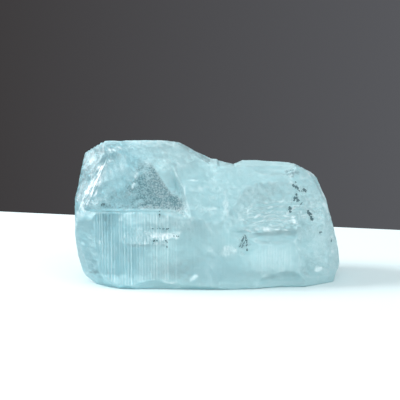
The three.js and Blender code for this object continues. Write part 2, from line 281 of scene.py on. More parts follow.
# Each cut takes away what lies beyond all of its limits: one face trims the whole crystal, and
# two or more leave a ledge with a wall behind it, or a notch.
CUTS: Mapping[str, tuple[Face | Chip, ...]] = {
    "base": (Face((0, 0, 0), 0, -90, kind=Surface.CLEAVAGE),),
    "left front prism": (prism_face((0.006, -1.015, 0), -92.87),),
    "right front prism": (prism_face((0.006, -1.015, 0), -81.4),),
    "right back prism": (prism_face((-0.124, 1.0, 0), 83.9),),
    "left back prism": (prism_face((-0.124, 1.0, 0), 97.1),),
    "left plateau": (cleavage(1.0),),
    "plateau lip": (fracture((-0.36, 0, 1.0), 5, 83, (-0.3, 0.9, 1.1)),),
    "saddle": (fracture((-0.235, 0, 0.98), -4, 58, (-0.1, 1.1, 1.0)), cleavage(0.841)),
    "notch": (
        fracture((0.07, 0, 0.846), 10, 72, (0.1, -1.2, 0.9)),
        fracture((0.2, 0, 0.81), 172, 60, (0.5, 1.1, 0.7)),
        SADDLE_END,
    ),
    "right plateau": (cleavage(0.827), SADDLE_END),
    "plateau flake": (cleavage(0.965), fracture((-0.6, 0.3, 0.97), 62, 58, (-0.2, 1.0, 1.0))),
    "back flake": (cleavage(0.795), fracture((0.42, 0.35, 0.84), 96, 55, (0, 1, 0.9))),
    "shoulder flake": (fracture((0.485, 0.268, 0.827), 53, 60, (0.2, 1.2, 0.9)),),
    "left ledge": (cleavage(0.534), LEFT_BREAK, LEFT_BREAK_END),
    "left upper front": (
        cleavage(0.545),
        fracture((-0.65, -0.7, 0.72), -108, 24.5, (-0.9, -0.5, 1.1)),
    ),
    "middle ledge": (cleavage(0.72), fracture((0, -0.93, 0.7), -90, 20, (0.1, -0.8, 1.2))),
    "right ledge": (cleavage(0.398), RIGHT_BREAK, RIGHT_BREAK_END),
    "left front brow": (fracture((-0.37, -0.56, 0.955), -94, 47, (-0.2, -0.6, 1.3)),),
    "right front brow": (fracture((0.33, -0.62, 0.765), -86, 42, (0.6, -0.4, 1.2)),),
    "right upper front": (fracture((0.358, -0.761, 0.665), -85, 25, (0.7, -0.5, 1.1)),),
    "front heel": (fracture((0, -0.97, 0.02), -91, -46, (0.1, -1.4, 0)),),
    "back ledge": (cleavage(0.6), BACK_BREAK),
    "left back brow": (fracture((-0.4, 0.74, 0.95), 98, 44, (0.2, 0.6, 1.3)),),
    "right back brow": (fracture((0.4, 0.66, 0.765), 80, 46, (-0.1, 0.7, 1.1)),),
    "back heel": (fracture((0, 0.93, 0.03), 92, -42, (-0.4, 1.4, 0)),),
    "right shoulder": (fracture((0.6, 0, 0.828), 4, 65, (0.7, 0.9, 1.1)),),
    "right lower shoulder": (fracture((0.735, 0, 0.785), -3, 52, (0.7, -0.9, 1.1)),),
    "right brow": (fracture((0.83, 0, 0.685), -9, 30, (0.8, -0.9, 1.0)),),
    "right flank": (fracture((0.88, 0, 0.555), 7, 15, (1.0, 1.0, 0.8)),),
    "right foot": (fracture((0.984, 0, 0.225), -3, 4, (1.0, -1.0, 0.1)),),
    "right toe": (fracture((0.975, 0, 0.07), 4, -38, (1.0, 0.8, 0.0)),),
    "right front corner": (fracture((0.8, -0.6, 0.2), -52, 3, (0.8, -0.9, 0.8)),),
    "right front edge": (fracture((0.93, -0.3, 0.2), -26, 6, (0.8, -0.9, 0.8)),),
    "right front brow corner": (fracture((0.7, -0.6, 0.675), -54, 30, (0.5, -0.9, 1.0)),),
    "right back corner": (fracture((0.84, 0.6, 0.3), 51, 7, (0.9, 0.8, -0.1)),),
    "right back brow corner": (fracture((0.72, 0.56, 0.665), 48, 36, (0.4, 0.9, 1.0)),),
    "left shoulder": (fracture((-0.79, 0, 0.99), 172, 62, (-0.7, 1.0, 1.1)),),
    "left lower shoulder": (fracture((-0.907, 0, 0.945), 184, 42, (-0.7, 1.0, 1.1)),),
    "left brow": (fracture((-0.965, 0, 0.83), 185, 14, (-0.9, -1.0, 1.1)),),
    "left flank": (fracture((-0.975, 0, 0.62), 176, 5, (-1.0, 0.9, 1.0)),),
    "left foot": (fracture((-0.992, 0, 0.36), 181, -2, (-1.0, 0.9, -0.1)),),
    "left toe": (fracture((-0.992, 0, 0.18), 184, -24, (-1.0, -0.8, 0.0)),),
    "left heel": (fracture((-0.87, 0, 0.02), 176, -48, (-1.0, 0.6, 0.1)),),
    "left front heel": (fracture((-0.8, -0.74, 0.03), 224, -44, (-0.7, -1.0, 0.1)),),
    "left front bevel": (fracture((-0.903, -0.71, 0.542), 222, 26, (-0.8, -0.3, 1.2)),),
    "left front corner": (fracture((-0.88, -0.8, 0.3), 225, -3, (-0.9, -0.8, 0.9)),),
    "left front edge": (fracture((-0.965, -0.47, 0.2), 203, -12, (-0.9, -0.8, 0.9)),),
    "left back corner": (fracture((-0.842, 0.62, 0.3), 137, 3, (-0.7, 1.0, 0.7)),),
    "left back brow corner": (fracture((-0.77, 0.576, 0.83), 132, 38, (-0.6, 0.9, 1.2)),),
    "front shell": (Chip((-0.15, -0.74, 0.79), -93, 14, (6.0, 6.0), 1.7), LEFT_BREAK_END),
    "right ledge chip": (Chip((0.483, -0.875, 0.36), -82, 4, (4.6, 1.5), 0.6),),
    "right heel chip": (Chip((0.53, -0.86, 0.06), -80, -22, (4.2, 1.8), 0.8),),
    "left heel chip": (Chip((-0.371, -0.97, 0.035), -93, -34, (3.6, 1.5), 0.5),),
    "right brow chip": (Chip((0.458, -0.5, 0.81), -80, 60, (3.8, 2.2), 0.6),),
    "right flank shell": (Chip((0.925, -0.16, 0.5), -8, 15, (4.6, 5.4), 0.7),),
    "right foot shell": (Chip((0.96, 0.3, 0.2), 12, 2, (3.8, 3.0), 0.6),),
    "left flank shell": (Chip((-0.975, 0.12, 0.5), 180, 3, (5.0, 5.2), 0.7),),
    "left brow chip": (Chip((-0.9, -0.35, 0.9), 200, 34, (3.2, 2.4), 0.4),),
    "back shell": (Chip((-0.38, 0.83, 0.7), 96, 14, (7.0, 4.6), 1.2),),
    "back foot shell": (Chip((0.4, 0.91, 0.26), 83, 0, (5.2, 3.4), 0.8),),
    "back heel chip": (Chip((-0.72, 0.76, 0.12), 104, -20, (4.0, 2.4), 0.7),),
}


def terrace_cuts(
    count: int = 5, first: float = 0.44, rise: float = 0.032, setback: float = 0.0208
) -> list[tuple[Face, ...]]:
    """Make the low terraces of cleavage on the right of the front.

    Each is the right break once more, its floor a rise higher and its wall a setback further in.

    Args:
        count: how many terraces there are.
        first: height of the lowest, as a share of the crystal's height.
        rise: how much higher each next one is, in the same share.
        setback: how much further back each next one stands, as a share of half the depth.

    Returns:
        One cut per terrace, from the lowest up.
    """
    along, across, up = RIGHT_BREAK.at
    walls = [replace(RIGHT_BREAK, at=(along, across + k * setback, up)) for k in range(1, count + 1)]
    return [(cleavage(first + k * rise), wall, RIGHT_BREAK_END) for k, wall in enumerate(walls)]


@dataclass(frozen=True)
class Ribs:
    """Low shell-like ribs on a broken face: rings round the struck point, and a slow roll."""

    wave: float = 5.2
    height: float = 0.13
    fade: float = 40.0
    roll: float = 9.5
    roll_height: float = 0.2

    def at(self, points: Array, struck: Array) -> Array:
        """Work out how far the broken face stands out.

        A cosine of the distance from the struck point that dies away with that distance, plus a
        slow sine along the crystal.

        Args:
            points: one row of x, y, z in millimetres per place.
            struck: the struck point.

        Returns:
            One height in millimetres per place.
        """
        reach = np.linalg.norm(points - struck, axis=1)
        rings = self.height * np.cos(2 * np.pi * reach / self.wave) * np.exp(-reach / self.fade)
        along = points[:, 0] + 0.6 * points[:, 2]
        return rings + self.roll_height * np.sin(along / self.roll + struck[1])


@dataclass(frozen=True)
class CrystalForm:
    """The crystal's outer form, seen from a point inside it: how far out the surface lies.

    Every direction from the inner point meets the surface once. Along it, each cut starts at the
    farthest of its limits, and the surface lies at the nearest cut.
    """

    length: float
    depth: float
    height: float
    inner: Point = (0.0, 0.0, 6.0)
    edge_sharpness: float = 400.0
    ribs: Ribs = field(default_factory=Ribs)

    FAR = 1.0e4
    OUTSIDE = 60.0
    TYPICAL = 20.0
    GRAZING = 1.0e-4

    def place(self, shares: Sequence[float]) -> Array:
        """Turn shares of half the length, half the depth and the height into millimetres."""
        return np.array(shares) * (self.length / 2, self.depth / 2, self.height)

    def on_front(self, at: Pair) -> Pair:
        """Turn shares of half the length and the height into x and z in millimetres."""
        return at[0] * self.length / 2, at[1] * self.height

    def to_face(self, face: Face, ways: Array) -> Array:
        """Find how far out a face lies in each direction.

        The plane's distance from the inner point over the cosine between the direction and the
        plane's normal, with the ribs' height added to the plane's distance where it was struck.

        Args:
            face: the face.
            ways: one unit vector per direction.

        Returns:
            One distance in millimetres per direction, very large where the face isn't met.
        """
        normal = direction(face.azimuth, face.elevation)
        inner = np.array(self.inner)
        gap = (self.place(face.at) - inner) @ normal
        slant = ways @ normal
        met = slant > self.GRAZING
        safe = np.where(met, slant, 1.0)
        if face.struck is not None:
            hits = inner + np.minimum(gap / safe, self.OUTSIDE)[:, None] * ways
            gap = gap + self.ribs.at(hits, self.place(face.struck))
        return np.where(met, np.minimum(gap / safe, self.FAR), self.FAR)

    def to_chip(self, chip: Chip, ways: Array) -> Array:
        """Find how far out the ball behind a chip is first met in each direction.

        The ball is squashed upright so that it cuts an oval of the chip's reach, and its near
        side is the first root of the usual quadratic for a line and a sphere.

        Args:
            chip: the chip.
            ways: one unit vector per direction.

        Returns:
            One distance in millimetres per direction, very large where the ball isn't met.
        """
        normal = direction(chip.azimuth, chip.elevation)
        half_width, half_height = chip.reach
        radius = (half_width**2 + chip.depth**2) / (2 * chip.depth)
        across = np.cross((0, 0, 1), normal)
        across /= np.linalg.norm(across)
        rise = np.cross(normal, across)
        to_round = np.stack([across, rise * half_width / half_height, normal])
        centre = self.place(chip.at) + (radius - chip.depth) * normal
        start = to_round @ (np.array(self.inner) - centre)
        steps = ways @ to_round.T
        a = (steps * steps).sum(1)
        b = steps @ start
        root = b * b - a * (start @ start - radius**2)
        near = (-b - np.sqrt(np.maximum(root, 0))) / a
        return np.where((root > 0) & (near > 0), near, self.FAR)

    def surface(self, ways: Array) -> tuple[Array, Array, Array]:
        """Find the surface in each direction.

        The nearest cut, taken as a power mean with a large negative power, so that edges between
        cuts come out slightly rounded.

        Args:
            ways: one unit vector per direction.

        Returns:
            One point in millimetres per direction, the kind of surface it lies on, and how much
            farther out the next cut lies, which is small along edges.
        """
        total = np.zeros(len(ways))
        nearest = np.full(len(ways), self.FAR)
        second = np.full(len(ways), self.FAR)
        kinds = np.zeros(len(ways), int)
        for cut in [*CUTS.values(), *terrace_cuts()]:
            reaches = np.stack([
                self.to_chip(limit, ways) if isinstance(limit, Chip) else self.to_face(limit, ways)
                for limit in cut
            ])
            last = reaches.argmax(0)
            reach = reaches.max(0)
            total += (reach / self.TYPICAL) ** -self.edge_sharpness
            nearer = reach < nearest
            second = np.where(nearer, nearest, np.minimum(second, reach))
            nearest[nearer] = reach[nearer]
            own = np.array([limit.kind.value for limit in cut])
            kinds[nearer] = own[last[nearer]]
        distance = self.TYPICAL * total ** (-1 / self.edge_sharpness)
        return np.array(self.inner) + distance[:, None] * ways, kinds, second - nearest


@dataclass(frozen=True)
class BoxGrid:
    """A grid of cells over the six sides of a box, whose corners and edges are shared."""

    along: int = 300
    across: int = 56
    up: int = 92

    def shell(self) -> tuple[Array, Array]:
        """Work out the grid.

        Every lattice point that lies on the outside of the box is kept and numbered, and each
        side's cells join four of those numbers, turned so that they face outwards.

        Returns:
            One row of x, y, z between -1 and 1 per point, and one row of four numbers per cell.
        """
        lines = [np.linspace(-1, 1, n + 1) for n in (self.along, self.across, self.up)]
        outside = np.zeros([len(line) for line in lines], bool)
        outside[[0, -1], :, :] = True
        outside[:, [0, -1], :] = True
        outside[:, :, [0, -1]] = True
        numbers = np.full(outside.shape, -1)
        numbers[outside] = np.arange(outside.sum())
        points = np.stack(np.meshgrid(*lines, indexing="ij"), -1)[outside]
        sides = [
            (numbers[:, :, -1], False),
            (numbers[:, :, 0], True),
            (numbers[:, 0, :], False),
            (numbers[:, -1, :], True),
            (numbers[-1, :, :], False),
            (numbers[0, :, :], True),
        ]
        return points, np.concatenate([self.cells(*side) for side in sides])

    @staticmethod
    def cells(numbers: Array, turned_round: bool) -> Array:
        """Join the points of one side into cells of four.

        Args:
            numbers: the side's point numbers, as a grid.
            turned_round: whether each cell runs the other way round.

        Returns:
            One row of four point numbers per cell.
        """
        corners = (numbers[:-1, :-1], numbers[1:, :-1], numbers[1:, 1:], numbers[:-1, 1:])
        cells = np.stack(corners, -1).reshape(-1, 4)
        return cells[:, ::-1] if turned_round else cells


def vertex_normals(points: Array, cells: Array) -> Array:
    """Work out unit normals at the points of a mesh of four-sided cells.

    Each cell's normal is the cross product of its diagonals, and a point takes the sum of the
    normals of the cells round it.

    Args:
        points: one row of x, y, z per point.
        cells: one row of four point numbers per cell.

    Returns:
        One unit vector per point.
    """
    a, b, c, d = (points[cells[:, i]] for i in range(4))
    normals = np.cross(c - a, d - b)
    total = np.zeros_like(points)
    for i in range(4):
        np.add.at(total, cells[:, i], normals)
    return total / np.linalg.norm(total, axis=1, keepdims=True)


# ---- The crystal's skin --------------------------------------------------------------------


class Layer(Enum):
    """What varies over the crystal's skin, each a number from 0 to 1 per vertex."""

    FROST = "frost"
    MILK = "milk"
    BLUE = "blue"
    # Mineral dust, and also painted shade where the dark wall shows through the window.
    DUST_AND_SHADE = "dust"
    # White cracks and flecks, and also painted highlights, glints and rims.
    WHITE = "white"
    STRIATED = "striated"
    SCRATCHED = "scratched"
    FEATHERY = "feathery"
    GRAINY = "grainy"
    TICKED = "ticked"
    RAISED = "raised"


def mix(**amounts: float) -> dict[Layer, float]:
    """Set layers by their plain names, such as milk=0.5."""
    return {Layer(name): amount for name, amount in amounts.items()}


@dataclass(frozen=True)
class Patch:
    """An area of the front, an oval or a rounded oblong, that has its own mix of layers.

    Its middle is in shares of the crystal's half length and height, and its half width and half
    height are in millimetres.
    """

    at: Pair
    reach: Pair
    layers: Mapping[Layer, float]
    turn: float = 0.0
    edge: float = 0.4
    ragged: float = 0.25
    power: float = 2.0

    UNEVENNESS = WaveField(1.3, 31)

    def mask(self, form: CrystalForm, points: Array) -> Array:
        """Work out how far each place belongs to the area.

        The distance from the middle over the reach, made uneven by a wave field, falls from 1 to
        0 across the edge.

        Args:
            form: the crystal's form.
            points: one row of x, y, z in millimetres per place.

        Returns:
            One number from 0 to 1 per place.
        """
        middle_x, middle_z = form.on_front(self.at)
        u, v = turned(points[:, 0] - middle_x, points[:, 2] - middle_z, -math.radians(self.turn))
        wide, high = np.abs(u / self.reach[0]), np.abs(v / self.reach[1])
        away = (wide**self.power + high**self.power) ** (1 / self.power)
        away += self.ragged * self.UNEVENNESS.at(points)
        return 1 - smoothstep(1 - self.edge, 1 + self.edge, away)


@dataclass(frozen=True)
class Window:
    """The clearest part of the front, a tall three-sided pane whose right side is bowed inwards.

    Its corners are in shares of the crystal's half length and height, and the widths over which
    its sides fade are in millimetres. Its grey dust layer is painted shade, standing in for the
    dark wall seen through the clear crystal.
    """

    top: Pair = (-0.419, 0.868)
    left: Pair = (-0.79, 0.551)
    right: Pair = (-0.19, 0.551)
    right_bow: float = 1.25
    left_bow: float = 0.8
    right_edge: float = 0.35
    left_edge: float = 2.6
    wander: float = 1.2

    UNEVENNESS = WaveField(2.4, 32)
    # Full dust here is painted shade: the dark wall seen through the clear crystal, painted grey.
    layers = mix(dust=1.0, milk=0.05, grainy=0.3, frost=0.2, white=0.0)

    def mask(self, form: CrystalForm, points: Array) -> Array:
        """Work out how far each place belongs to the window.

        The sides run from the top to the feet as powers of the height, the left one uneven, and
        the mask fades across each, across the foot and towards the top.

        Args:
            form: the crystal's form.
            points: one row of x, y, z in millimetres per place.

        Returns:
            One number from 0 to 1 per place.
        """
        (top_x, top_z), (left_x, foot_z), (right_x, _) = map(form.on_front, (self.top, self.left, self.right))
        x, z = points[:, 0], points[:, 2]
        down = np.clip((top_z - z) / (top_z - foot_z), 0, 1)
        right_side = top_x + (right_x - top_x) * down**self.right_bow
        left_side = top_x + (left_x - top_x) * down**self.left_bow + self.wander * self.UNEVENNESS.at(points)
        inside = smoothstep(-self.right_edge, self.right_edge, right_side - x)
        inside = inside * smoothstep(-self.left_edge, self.left_edge, x - left_side)
        over_foot, under_top = smoothstep(-0.2, 0.1, z - foot_z), smoothstep(-0.5, 0.8, top_z - z)
        return inside * over_foot * under_top


# The areas of the front, each laid over the ones before it.
AREAS: Mapping[str, Window | Patch] = {
    "window": Window(),
    "front shell": Patch((-0.12, 0.746), (3.4, 3.4), mix(grainy=0.1, milk=0.45, feathery=0.15)),
    "upper left": Patch((-0.72, 0.8), (4.2, 3.6), mix(milk=0.0, blue=0.8, grainy=0.4, dust=0.28), edge=0.5),
    "top band": Patch((-0.28, 0.93), (6.4, 1.3), mix(milk=0.6, white=0.05, grainy=0.4), edge=0.5),
    "brow foot": Patch((0.415, 0.636), (5.6, 2.4), mix(milk=0.85, grainy=0.05, frost=0.6), edge=0.6),
    "heel": Patch((0.0, 0.03), (24.0, 1.6), mix(milk=0.85, grainy=0.2), power=6),
    "low band": Patch((0.06, 0.134), (5.0, 2.0), mix(milk=0.6, blue=0.4), edge=0.6),
    "left edge": Patch((-0.94, 0.35), (2.2, 5.0), mix(milk=0.3, grainy=0.15)),
    "right end": Patch((0.88, 0.4), (3.6, 8.5), mix(milk=0.65, white=0.14, grainy=0.9), turn=10),
    "raised block": Patch((-0.458, 0.422), (3.6, 2.85), mix(
        milk=0.35, white=0.03, raised=1.0, striated=0.55), edge=0.06, ragged=0.02, power=10),
    "block top": Patch((-0.458, 0.49), (3.5, 0.9), mix(milk=0.6, white=0.16), power=6, edge=0.3),
    # The white of the sparkling block is painted glints.
    "sparkling block": Patch((-0.325, 0.373), (2.0, 0.6), mix(
        white=0.45, ticked=1.0), power=6, edge=0.3, ragged=0.4),
    "quiet middle": Patch((-0.019, 0.336), (4.6, 5.0), mix(striated=0.15, grainy=0.15), power=4),
    "pale foot": Patch((0.461, 0.206), (4.0, 2.3), mix(milk=0.7, white=0.22, striated=0.3), edge=0.6),
    "feathers": Patch((0.441, 0.516), (4.6, 2.5), mix(feathery=1.0, grainy=0.15, milk=0.7)),
    "calm shoulder": Patch((0.291, 0.706), (5.2, 3.2), mix(
        grainy=0.25, feathery=0.25, frost=0.5, milk=0.45)),
    "bevel": Patch((-0.88, 0.72), (2.4, 5.4), mix(
        milk=0.0, white=0.0, grainy=0.1, scratched=0.1, dust=0.05), turn=-24),
    # The bevel streak is real scratches with a painted highlight in its white, and the bevel glare is a
    # painted highlight of the light on the bevel.
    "bevel streak": Patch((-0.85, 0.69), (0.9, 4.8), mix(
        white=0.2, scratched=1.0), turn=-26, ragged=0.3, edge=0.4),
    "bevel glare": Patch((-0.842, 0.725), (0.6, 2.3), mix(white=0.5), turn=-26, ragged=0.6),
    "bevel foot": Patch((-0.816, 0.574), (0.7, 1.2), mix(dust=0.55, white=0.0), edge=0.5),
    # The white of the upper chip and the top streak is painted highlight: a small facet and the plateau's
    # edge catching the light.
    "upper chip": Patch((-0.87, 0.857), (0.38, 0.8), mix(white=0.6), turn=-35, ragged=0.3),
    "top streak": Patch((-0.712, 0.942), (1.3, 0.28), mix(white=0.8), turn=20, ragged=0.5),
    "window streak": Patch((-0.543, 0.741), (0.15, 1.2), mix(white=0.5), turn=-16, ragged=0.9),
    # The dust of the window's left side and corner is painted shade of the dark wall seen through it.
    "window left": Patch((-0.658, 0.59), (3.2, 1.2), mix(dust=0.5), edge=0.7, ragged=0.6),
    "window corner": Patch((-0.225, 0.585), (2.0, 1.1), mix(dust=1.0), turn=-40, edge=0.6),
    "shell foot": Patch((-0.242, 0.69), (1.7, 1.5), mix(blue=0.6, milk=0.5), edge=0.6),
    "shell smudge": Patch((-0.31, 0.845), (0.35, 0.75), mix(dust=0.45), turn=-40, ragged=0.5),
    "recess end": Patch((-0.206, 0.692), (0.45, 3.6), mix(
        white=0.0, dust=0.35, milk=0.2), turn=17, ragged=0.1),
    "upright crack": Patch((-0.179, 0.68), (0.1, 1.0), mix(white=0.5), ragged=0.3),
    "level crack": Patch((-0.115, 0.741), (1.0, 0.11), mix(white=0.5), ragged=0.3),
    # The white of these sparks is painted glints.
    "left spark": Patch((-0.927, 0.296), (0.2, 0.4), mix(white=0.35), ragged=0.8),
    "second left spark": Patch((-0.79, 0.326), (0.25, 0.3), mix(white=0.8), ragged=0.4),
    "foot streak": Patch((-0.299, 0.051), (1.1, 0.18), mix(white=0.7), turn=-8, ragged=0.5),
    "second foot streak": Patch((-0.102, 0.091), (0.8, 0.25), mix(white=0.55), turn=35, ragged=0.5),
    "clean heel": Patch((0.463, 0.091), (2.6, 0.9), mix(dust=0.0, milk=0.6)),
    # The white of the ledge sparks and the ledge line is a painted highlight on the ledge's edge.
    "ledge spark": Patch((0.36, 0.41), (1.0, 0.2), mix(white=0.5), ragged=0.7),
    "ledge line": Patch((0.451, 0.404), (2.6, 0.15), mix(white=0.5), ragged=0.6),
    "ledge end spark": Patch((0.61, 0.486), (0.35, 0.45), mix(white=0.7), turn=20, ragged=0.7),
    "under the ledge": Patch((0.5, 0.356), (2.9, 0.8), mix(milk=0.45, striated=0.0), edge=0.5),
    # The white of these sparks is painted glints.
    "middle spark": Patch((0.12, 0.271), (1.05, 0.55), mix(white=0.2), ragged=0.9),
    "small spark": Patch((0.01, 0.276), (0.4, 0.14), mix(white=0.7), ragged=0.4),
    "shoulder streak": Patch((0.11, 0.57), (0.5, 1.6), mix(white=0.25, ticked=0.5), ragged=0.8),
    "right brow": Patch((0.31, 0.766), (6.5, 2.0), mix(milk=0.5, frost=0.7)),
    # The white of these rims is a painted highlight along the crystal's edges.
    "right brow rim": Patch((0.765, 0.757), (1.2, 0.3), mix(white=0.8), turn=-34, ragged=0.4),
    "right end rim": Patch((0.87, 0.556), (0.5, 2.2), mix(white=0.5), turn=14, ragged=0.6),
    "top rim": Patch((-0.44, 0.981), (5.0, 0.35), mix(white=0.25), turn=-1, ragged=0.6),
    # The white of the middle ledge line is a painted highlight on the ledge's edge.
    "middle ledge line": Patch((-0.009, 0.554), (2.6, 0.13), mix(white=0.35), ragged=0.6),
    "ticks over the ledge": Patch((-0.43, 0.552), (5.0, 0.5), mix(ticked=0.4), edge=0.5, ragged=0.7),
    "ticks on the block": Patch((-0.46, 0.36), (3.4, 1.5), mix(ticked=0.8), edge=0.5, ragged=0.3),
    "ticks by the block": Patch((-0.22, 0.45), (2.4, 2.0), mix(ticked=0.45), edge=0.6, ragged=0.4),
    "ticks by the cluster": Patch((0.12, 0.27), (1.6, 0.8), mix(ticked=0.6), edge=0.5, ragged=0.5),
    # The white of this spark is a painted glint.
    "right spark": Patch((0.92, 0.206), (0.35, 0.4), mix(white=0.7), ragged=0.6),
    "right foot streak": Patch((0.8, 0.106), (0.55, 0.6), mix(white=0.5), turn=30, ragged=0.7),
    "smudge": Patch((0.6, 0.783), (1.1, 0.5), mix(dust=0.9), turn=10, ragged=0.5),
    "dusty corner": Patch((-0.78, 0.581), (0.35, 0.4), mix(dust=0.9), ragged=0.5),
    "dusty spot": Patch((-0.755, 0.666), (0.4, 0.6), mix(dust=0.5), ragged=0.6),
    "dusty cluster": Patch((0.243, 0.322), (0.9, 1.5), mix(dust=0.45), ragged=0.5),
    "dust by the specks": Patch((0.665, 0.6), (0.9, 2.0), mix(dust=0.12), ragged=0.8, turn=25),
}


# ---- Finishes ------------------------------------------------------------------------------


@dataclass(frozen=True)
class Pattern:
    """A fine pattern of the skin: stretched noise, cut so that its crests or thin lines show.

    Its sizes are in millimetres along x and z before it is turned. It shows where its layer is,
    and adds its shares to the relief and to the white. It comes up between the noise values low
    and high, or, where hair isn't 0, only within hair of low, as hairlines. Where it is banded,
    even bands along x that wander take the noise's place.
    """

    size: Pair
    layer: Layer | None = None
    relief: float = 0.0
    white: float = 0.0
    turn: float = 0.0
    low: float = 0.45
    high: float = 0.65
    detail: float = 2.0
    bend: float = 0.0
    across: float = 1000.0
    hair: float = 0.0
    banded: bool = False

    def socket(self, tree: Tree, place: Socket) -> Socket:
        """Add the pattern's nodes.

        Args:
            tree: the material's tree.
            place: the piece's own coordinates.

        Returns:
            The pattern, from 0 to 1.
        """
        laid = add_node(tree, "Mapping", {
            "Vector": place,
            "Rotation": (0.0, math.radians(self.turn), 0.0),
            "Scale": (self.size[0] * MM, self.across * MM, self.size[1] * MM),
        }, vector_type="TEXTURE")
        noise = add_node(tree, "TexWave" if self.banded else "TexNoise", {
            "Vector": laid.outputs["Vector"], "Scale": 1.0, "Detail": self.detail, "Distortion": self.bend,
        }).outputs["Fac"]
        if self.hair:
            near = {0: noise, 1: self.low, 2: self.hair}
            return add_node(tree, "Math", near, operation="COMPARE").outputs[0]
        limits = {"Value": noise, "From Min": self.low, "From Max": self.high}
        return add_node(tree, "MapRange", limits, interpolation_type="SMOOTHSTEP").outputs["Result"]


def sum_of(tree: Tree, terms: Iterable[tuple[float, Socket, Socket | float]]) -> Socket:
    """Add up patterns, each times the layer that says where it shows and times its weight.

    Args:
        tree: the material's tree.
        terms: each pattern's weight, the pattern, and its layer.

    Returns:
        The sum, which may go past 1.
    """
    total: Socket | float = 0.0
    for weight, pattern, layer in terms:
        shown = add_node(tree, "Math", {0: pattern, 1: layer}, operation="MULTIPLY")
        inputs = {0: shown.outputs[0], 1: weight, 2: total}
        total = add_node(tree, "Math", inputs, operation="MULTIPLY_ADD").outputs[0]
    return total


# The fine marks of the skin, each shown where its layer is and adding to the relief and the white.
PATTERNS: Mapping[str, Pattern] = {
    # The striations' white is a painted highlight on their ridges.
    "striations": Pattern(
        (1.55, 90.0), Layer.STRIATED, relief=0.6, white=0.54, low=0.72, high=1.0, detail=1.0, bend=4.0,
        banded=True),
    "broad striations": Pattern((0.75, 30.0), Layer.STRIATED, relief=0.4, low=0.4, high=0.6, detail=1.0),
    "ticks": Pattern((0.3, 0.9), Layer.TICKED, relief=0.6, white=0.4, low=0.5, detail=1.0, hair=0.06),
    "scratches": Pattern(
        (0.36, 5.0), Layer.SCRATCHED, relief=0.8, white=0.7, turn=26, low=0.5, detail=3.0, hair=0.045),
    "feathers": Pattern(
        (2.6, 0.6), Layer.FEATHERY, relief=0.6, white=0.4, turn=-14, low=0.5, detail=3.0, bend=0.8,
        hair=0.035),
    "grains": Pattern((0.29, 0.29), Layer.GRAINY, relief=0.45, low=0.35, across=0.29),
    "flecks": Pattern((0.45, 0.45), Layer.WHITE, white=0.55, low=0.38, high=0.54, detail=3.0, across=0.45),
    # The sparks' white is painted glints.
    "sparks": Pattern(
        (1.1, 0.5), Layer.GRAINY, white=0.3, turn=30, low=0.47, detail=3.0, bend=0.6, hair=0.02),
    "veils": Pattern((2.2, 0.5), white=0.1, turn=4, low=0.46, high=0.7, detail=3.0, bend=0.3),
}


